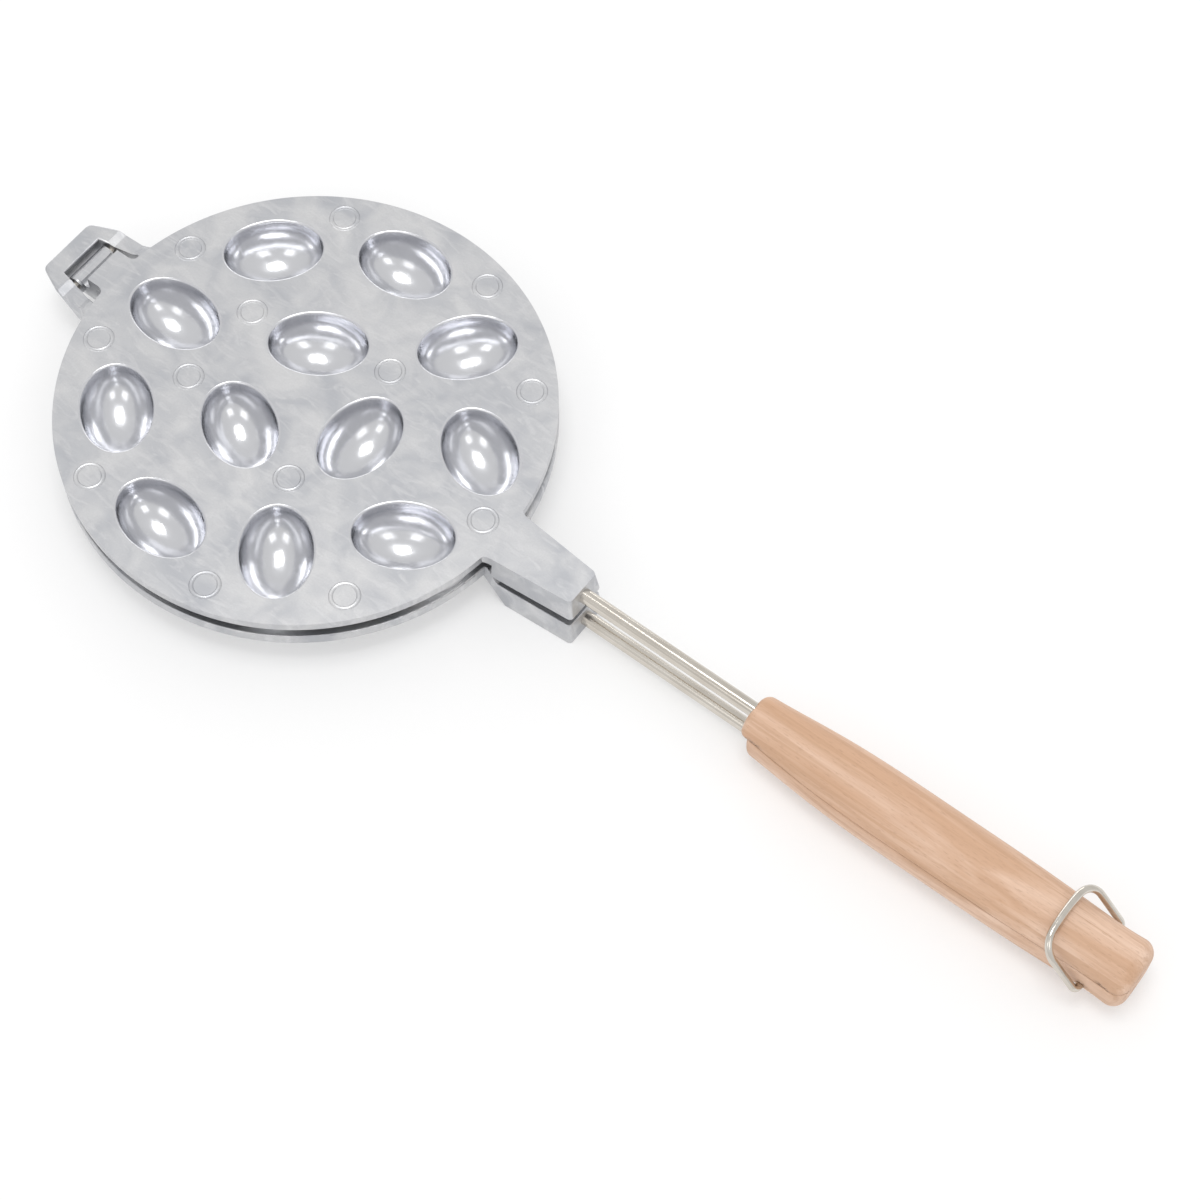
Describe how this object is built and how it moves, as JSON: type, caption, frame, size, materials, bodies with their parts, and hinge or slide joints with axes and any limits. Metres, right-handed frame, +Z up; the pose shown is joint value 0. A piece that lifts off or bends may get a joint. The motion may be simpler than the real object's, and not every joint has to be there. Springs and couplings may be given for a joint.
{
  "type": "walnut cookie mold",
  "caption": "Hinged cast round iron that bakes hollow nut-shaped shells, on long steel rods with a split wooden handle and a wire locking bail.",
  "frame": {"origin": "under the middle of the part's length, on the plane that the dome crowns rest on", "axes": "+X from the hinge towards the handle's end, +Z up, out of the top disc's face with the hollows"},
  "size_m": [0.4804, 0.185, 0.0284],
  "materials": {
    "cast_aluminium": "satin as-cast top face, polished hollows",
    "steel": "bright drawn",
    "beech": "bare, fine straight grain"
  },
  "bodies": {
    "lower_half": {"bottom_plate": "cast_aluminium", "hinge_pin": "steel", "lower_rod": "steel", "lower_handle": "beech"},
    "upper_half": {"top_plate": "cast_aluminium", "upper_rod": "steel", "upper_handle": "beech"},
    "bail": {"locking_bail": "steel"}
  },
  "joints": [
    {"name": "plate_hinge", "type": "hinge", "parent": "lower_half", "child": "upper_half", "pos_m": [-0.2278, 0, 0.017], "axis": [0, -1, 0], "range_deg": [0, 98]},
    {"name": "bail_pivot", "type": "hinge", "parent": "lower_half", "child": "bail", "pos_m": [0.2252, 0, 0.01], "axis": [0, 1, 0], "range_deg": [0, 225]}
  ]
}
